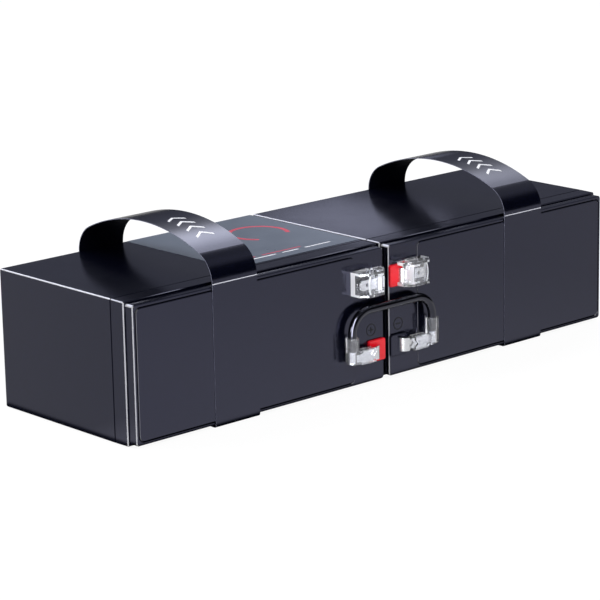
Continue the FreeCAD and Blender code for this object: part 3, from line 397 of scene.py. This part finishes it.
def drifting(name, code, roughness, patch_mm, metallic=0.0, stretch=(1, 1, 1)):
    """A finish whose tint and gloss drift a little from patch to patch."""
    material, tree, shader, place = new_material(name)
    along = add_node(tree, "ShaderNodeMapping", {"Scale": stretch}, {"Vector": place})
    drift = add_node(tree, "ShaderNodeTexNoise", {"Scale": 1000 / patch_mm, "Detail": 3.0},
                     {"Vector": along.outputs[0]})
    full = linear(code)
    tint = add_node(tree, "ShaderNodeMix",
                    {"data_type": "RGBA", 6: [part * DARKEST_TINT for part in full[:3]] + [1],
                     7: full}, {0: drift.outputs["Fac"]})
    sheen = add_node(tree, "ShaderNodeMapRange",
                     {"To Min": roughness * GLOSS_DRIFT[0], "To Max": roughness * GLOSS_DRIFT[1]},
                     {"Value": drift.outputs["Fac"]})
    tree.links.new(tint.outputs[2], shader.inputs["Base Color"])
    tree.links.new(sheen.outputs[0], shader.inputs["Roughness"])
    shader.inputs["Metallic"].default_value = metallic
    return material


def drifting_black(name, code, roughness, patch_mm, cast=ABS_CAST):
    """A drifting finish with the cool reflections of black plastic."""
    material = drifting(name, code, roughness, patch_mm)
    cool_mirror(material.node_tree.nodes["Principled BSDF"], cast)
    return material


red_resin = drifting("red_epoxy_resin", RESIN_RED, 0.25, FLOW_MM)
black_resin = drifting_black("black_epoxy_resin", RESIN_BLACK, 0.2, FLOW_MM)
for side in ("left_", "right_"):
    dress(side + "positive_seal", red_resin)
    dress(side + "negative_seal", black_resin)

# ---- Tabs and receptacles: stamped and bent from brass sheet, then dipped in tin, which leaves
# a pale soft shine with faint rolling lines along the sheet.
TIN = "#dfe0e4"
ROLLING_LINE_MM = 0.25

tin = drifting("tinned_brass_sheet", TIN, 0.26, ROLLING_LINE_MM, 1.0, (0.1, 1, 1))
for side in ("left_", "right_"):
    for name in ("positive_tab", "negative_tab", "flag_receptacle"):
        dress(side + name, tin)


# ---- Clear shrouds and flag housings: thin polycarbonate mouldings with every edge a little
# round; their mouths, which face along X, are frosted to show white, a painted highlight.
CLEAR_WHITE = "#f8f9fd"
CLEAR_INDEX = 1.5
CLEARNESS = 0.96
WHITE_HIGHLIGHT_FACING = ((0.75, 0.0), (0.95, 1.0))
CLOUD_MM = 2.5
CLOUD_ROUGHNESS = 0.03
MERGE_GAP = 1e-6
FLAT_DEGREES = 1
EDGE_BEVEL = 0.00018
EDGE_SEGMENTS = 2
SHARP_DEGREES = 40


def clear_polycarbonate(name, matt_clearness, matt_roughness):
    """Clear plastic; faces along X less clear and rougher, a painted highlight; faint gloss clouds.
    """
    material, tree, shader, place = new_material(name)
    shader.inputs["Base Color"].default_value = linear(CLEAR_WHITE)
    shader.inputs["IOR"].default_value = CLEAR_INDEX
    # Painted highlight: faces along X are made less clear and rougher, so they show white.
    size = add_node(tree, "ShaderNodeMath", {"operation": "ABSOLUTE"},
                    {0: surface_facing(tree)["X"]})
    matt = add_node(tree, "ShaderNodeMapRange", between(*WHITE_HIGHLIGHT_FACING), {"Value": size.outputs[0]})
    cloud = add_node(tree, "ShaderNodeTexNoise", {"Scale": 1000 / CLOUD_MM}, {"Vector": place})
    clearness = add_node(tree, "ShaderNodeMapRange",
                         {"To Min": CLEARNESS, "To Max": matt_clearness},
                         {"Value": matt.outputs[0]})
    base = add_node(tree, "ShaderNodeMapRange", {"To Min": 0.0, "To Max": CLOUD_ROUGHNESS},
                    {"Value": cloud.outputs["Fac"]})
    rough = add_node(tree, "ShaderNodeMath", {"operation": "MULTIPLY_ADD", 1: matt_roughness},
                     {0: matt.outputs[0], 2: base.outputs[0]})
    tree.links.new(clearness.outputs[0], shader.inputs["Transmission Weight"])
    tree.links.new(rough.outputs[0], shader.inputs["Roughness"])
    return material


def clear_piece(node_name, material):
    """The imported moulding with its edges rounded."""
    mesh = bmesh.new()
    mesh.from_mesh(nodes[node_name].data)
    bmesh.ops.remove_doubles(mesh, verts=mesh.verts, dist=MERGE_GAP)
    bmesh.ops.dissolve_limit(mesh, angle_limit=math.radians(FLAT_DEGREES), verts=mesh.verts,
                             edges=mesh.edges)
    piece = place_mesh(mesh, "clear_" + node_name, material)
    bevel = piece.modifiers.new("round_edges", "BEVEL")
    bevel.width = EDGE_BEVEL
    bevel.segments = EDGE_SEGMENTS
    bevel.limit_method = "ANGLE"
    bevel.angle_limit = math.radians(SHARP_DEGREES)
    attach(piece, "root")
    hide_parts(node_name)
    return piece


shroud_clear = clear_polycarbonate("clear_polycarbonate", 0.06, 0.25)
housing_clear = clear_polycarbonate("clear_polycarbonate_housing", 0.95, 0.02)
glinting = [nodes["jumper_wire"]]
for side in ("left_", "right_"):
    glinting.append(clear_piece(side + "terminal_shroud", shroud_clear))
    glinting.append(clear_piece(side + "flag_housing", housing_clear))
    glinting += [nodes[side + name] for name in ("positive_tab", "negative_tab",
                                                 "flag_receptacle")]

# ---- Glint lamp: a small upright light held low in front of the terminals. It reaches the clear
# pieces, the lead, the tabs and the receptacles alone, and gives them their bright lines.
GLINT_PLACE = (-0.086, -0.096, 0.062)
GLINT_AIM = (-0.020, -0.046, 0.040)

glint = add_area_lamp("terminal_glint", place=GLINT_PLACE, width=0.04, height=0.115, watts=0.30,
                      aim=GLINT_AIM, diffuse=False)
lit = bpy.data.collections.new("glinting_pieces")
for piece in glinting:
    lit.objects.link(piece)
glint.light_linking.receiver_collection = lit

# ---- Series lead: stranded copper in soft black PVC, extruded smooth and glossy, crimped at both
# ends and held in the flag housings.
PVC_BLACK = "#030305"
PVC_CAST = "#e2e4ff"

dress("jumper_wire", drifting_black("glossy_black_pvc", PVC_BLACK, 0.15, 3.0, PVC_CAST))

# ---- Pull straps: black polyester film, glossy outside like the mouldings it lies on, dull on
# its inner face; its slit edges and the crease where each folds down are painted highlights.
FILM_ROUGHNESS = 0.15
INNER_ROUGHNESS = 0.55
INNER_NORMAL_Z = -0.02
INNER_SHINE = ((0.0, 0.5), (1.0, 0.1))
# Painted highlights: the slit edges are painted pale grey and the front crease near white.
SLIT_EDGE_HIGHLIGHT_GREY = "#6c6d7c"
SLIT_FACING = ((0.7, 0.0), (0.9, 1.0))
CREASE_HIGHLIGHT_GREY = "#c4c4ca"
CREASE_NORMAL_Z = (0.03, 0.025)
CREASE_NORMAL_Y = -0.9


def polyester_film():
    """Glossy film, dull inside, with painted highlights on its slit edges and front crease."""
    material, tree, shader, place = new_material("black_polyester_film")
    gloss = mirror_finish(tree, shader, place, FILM_ROUGHNESS)
    facing = surface_facing(tree)
    inner = add_node(tree, "ShaderNodeMath", {"operation": "LESS_THAN", 1: INNER_NORMAL_Z},
                     {0: facing["Z"]})
    dull = add_node(tree, "ShaderNodeMath", {"operation": "MULTIPLY_ADD", 1: INNER_ROUGHNESS},
                    {0: inner.outputs[0], 2: gloss})
    tree.links.new(dull.outputs[0], shader.inputs["Roughness"])
    shine = add_node(tree, "ShaderNodeMapRange", between(*INNER_SHINE),
                     {"Value": inner.outputs[0]})
    tree.links.new(shine.outputs[0], shader.inputs["Specular IOR Level"])
    # Painted highlight: faces along X, the slit edges, are painted pale grey.
    size = add_node(tree, "ShaderNodeMath", {"operation": "ABSOLUTE"}, {0: facing["X"]})
    slit = add_node(tree, "ShaderNodeMapRange", between(*SLIT_FACING), {"Value": size.outputs[0]})
    highlighted_edges = add_node(tree, "ShaderNodeMix", {"data_type": "RGBA", 6: linear(ABS_BLACK),
                                             7: linear(SLIT_EDGE_HIGHLIGHT_GREY)}, {0: slit.outputs[0]})
    # Painted highlight: the crease where the film folds down at the front is painted near white.
    crease = add_node(tree, "ShaderNodeMath", {"operation": "COMPARE", 1: CREASE_NORMAL_Z[0],
                                               2: CREASE_NORMAL_Z[1]}, {0: facing["Z"]})
    ahead = add_node(tree, "ShaderNodeMath", {"operation": "LESS_THAN", 1: CREASE_NORMAL_Y},
                     {0: facing["Y"]})
    crease_highlight = add_node(tree, "ShaderNodeMath", {"operation": "MULTIPLY"},
                      {0: crease.outputs[0], 1: ahead.outputs[0]})
    colour = add_node(tree, "ShaderNodeMix", {"data_type": "RGBA", 7: linear(CREASE_HIGHLIGHT_GREY)},
                      {0: crease_highlight.outputs[0], 6: highlighted_edges.outputs[2]})
    tree.links.new(colour.outputs[2], shader.inputs["Base Color"])
    return material


film = polyester_film()
dress("left_pull_strap", film)
dress("right_pull_strap", film)

# ---- Strap marks: four plain chevrons on the front half of each arch, pointing up, screen
# printed on the film in matt white ink.
INK_WHITE = "#f4f4f6"
INK_LIFT = 0.00002
MARK_CENTRES_Y = (-0.0215, -0.0150, -0.0085, -0.0020)
MARK_HALF_WIDTH = 0.0050
MARK_RISE = 0.0034
MARK_STROKE = 0.0015
MARK_STEPS = 3
DROP_HEIGHT = 0.01


def strap_marks(strap_name, ink):
    """Chevrons of two slanting arms, each arm a narrow grid dropped onto the film from above."""
    strap = nodes[strap_name]
    (low_x, _, _), (high_x, _, high_z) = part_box(strap_name)
    mesh = bmesh.new()
    for centre in MARK_CENTRES_Y:
        for arm in (-MARK_HALF_WIDTH / 2, MARK_HALF_WIDTH / 2):
            bmesh.ops.create_grid(mesh, x_segments=MARK_STEPS, y_segments=1, size=1, matrix=Matrix((
                (arm, 0, 0, (low_x + high_x) / 2 + arm),
                (-MARK_RISE / 2, MARK_STROKE / 2, 0, centre - MARK_STROKE / 2),
                (0, 0, 1, high_z + DROP_HEIGHT), (0, 0, 0, 1))))
    to_film = strap.matrix_world.inverted()
    for corner in mesh.verts:
        _, spot, normal, _ = strap.ray_cast(to_film @ corner.co, Vector((0, 0, -1)))
        corner.co = strap.matrix_world @ (spot + normal * INK_LIFT)
    mesh.normal_update()
    bmesh.ops.reverse_faces(mesh, faces=[face for face in mesh.faces if face.normal.z < 0])
    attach(place_mesh(mesh, strap_name + "_marks", ink), "root")


white_ink = drifting("white_screen_ink", INK_WHITE, 0.5, 1.5)
strap_marks("left_pull_strap", white_ink)
strap_marks("right_pull_strap", white_ink)

# ---- Label: dark grey polyester film with an even satin face, stuck to the left battery's
# upper side.
LABEL_GREY = "#59626f"

dress("battery_label", drifting("grey_label_film", LABEL_GREY, 0.3, 12.0))

# ---- Label print: plain shapes in red and white screen ink, an arc and two rows of thin bars,
# a hair above the label.
PRINT_LIFT = 0.00002
PRINT_RED = "#c82444"
ARC_CENTRE = (-0.0250, 0.0180)
ARC_RADII = (0.0128, 0.0150)
ARC_SWEEP = (-40, 230)
ARC_STEPS = 48
# Each bar is its left end, its lower edge and its length.
WHITE_BARS = ((-0.0700, -0.0205, 0.0220), (-0.0440, -0.0205, 0.0100), (-0.0300, -0.0205, 0.0160))
RED_BARS = ((-0.0700, -0.0175, 0.0120), (-0.0540, -0.0175, 0.0240))
BAR_HEIGHT = 0.0010


def add_arc(mesh, centre, radii, sweep, steps):
    """A flat ring or part of one: a short line between two radii, spun about the centre."""
    start = math.radians(sweep[0])
    ends = [mesh.verts.new((centre[0] + radius * math.cos(start),
                            centre[1] + radius * math.sin(start), 0)) for radius in radii]
    bmesh.ops.spin(mesh, geom=ends + [mesh.edges.new(ends)], cent=(*centre, 0), axis=(0, 0, 1),
                   angle=math.radians(sweep[1] - sweep[0]), steps=steps,
                   use_merge=sweep[1] - sweep[0] == 360)


def label_print(name, bars, ink, arc=False):
    """One ink's shapes, laid over the label."""
    mesh = bmesh.new()
    if arc:
        add_arc(mesh, ARC_CENTRE, ARC_RADII, ARC_SWEEP, ARC_STEPS)
    for left, low, length in bars:
        add_rectangle(mesh, (left, low), (left + length, low + BAR_HEIGHT))
    mesh.normal_update()
    bmesh.ops.reverse_faces(mesh, faces=[face for face in mesh.faces if face.normal.z < 0])
    bmesh.ops.translate(mesh, verts=mesh.verts,
                        vec=(0, 0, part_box("battery_label")[1][2] + PRINT_LIFT))
    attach(place_mesh(mesh, name, ink), "root")


label_print("label_red_print", RED_BARS, drifting("red_screen_ink", PRINT_RED, 0.4, 1.5), True)
label_print("label_white_print", WHITE_BARS, white_ink)

# ---- Polarity marks: a plus and a minus, each in a ring, moulded in low relief on the lids beside
# the lower terminals. They are of the lids' ABS, left dull by the tool.
RELIEF_BLACK = "#020208"
MARK_RADII = (0.0026, 0.0030)
RING_STEPS = 40
MARK_HEIGHT = 0.00012
SIGN_LENGTH = 0.0028
SIGN_STROKE = 0.0005
PLUS_PLACE = (-0.0099, 0.0261)
MINUS_PLACE = (0.0078, 0.0258)


def polarity_mark(name, place, strokes, material):
    """A ring and its strokes, raised from the lid's plane at a place given as X and Z."""
    mesh = bmesh.new()
    add_arc(mesh, (0, 0), MARK_RADII, (0, 360), RING_STEPS)
    for width, height in strokes:
        add_rectangle(mesh, (-width / 2, -height / 2), (width / 2, height / 2))
    raised = bmesh.ops.extrude_face_region(mesh, geom=mesh.faces[:])
    bmesh.ops.translate(mesh, verts=[item for item in raised["geom"]
                                     if isinstance(item, bmesh.types.BMVert)],
                        vec=(0, 0, MARK_HEIGHT))
    bmesh.ops.recalc_face_normals(mesh, faces=mesh.faces)
    bmesh.ops.transform(mesh, verts=mesh.verts, matrix=(
        Matrix.Translation((place[0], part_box("left_lid")[0][1], place[1]))
        @ Matrix.Rotation(math.pi / 2, 4, "X")))
    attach(place_mesh(mesh, name, material), "root")


mark_abs = drifting("black_abs_relief", RELIEF_BLACK, 0.45, 1.0)
polarity_mark("plus_mark", PLUS_PLACE,
              ((SIGN_LENGTH, SIGN_STROKE), (SIGN_STROKE, SIGN_LENGTH)), mark_abs)
polarity_mark("minus_mark", MINUS_PLACE, ((SIGN_LENGTH, SIGN_STROKE),), mark_abs)

# ---- Hidden pieces: plate groups of cast lead, dull and blue-grey; separators of white glass mat
# folded round the plates; pressed-on neoprene valve caps; and black foam tape.
lead = drifting("cast_lead", "#8b8d92", 0.5, 6.0, 1.0)
mat = drifting("white_glass_mat", "#e8e8e2", 0.8, 1.2)
rubber = drifting("black_neoprene", "#141414", 0.6, 3.0)
foam = drifting("black_foam_tape", "#0c0c0c", 0.8, 0.8)
for side in ("left_", "right_"):
    dress(side + "plate_groups", lead)
    dress(side + "separators", mat)
    dress(side + "valve_caps", rubber)
dress("joining_foam", foam)
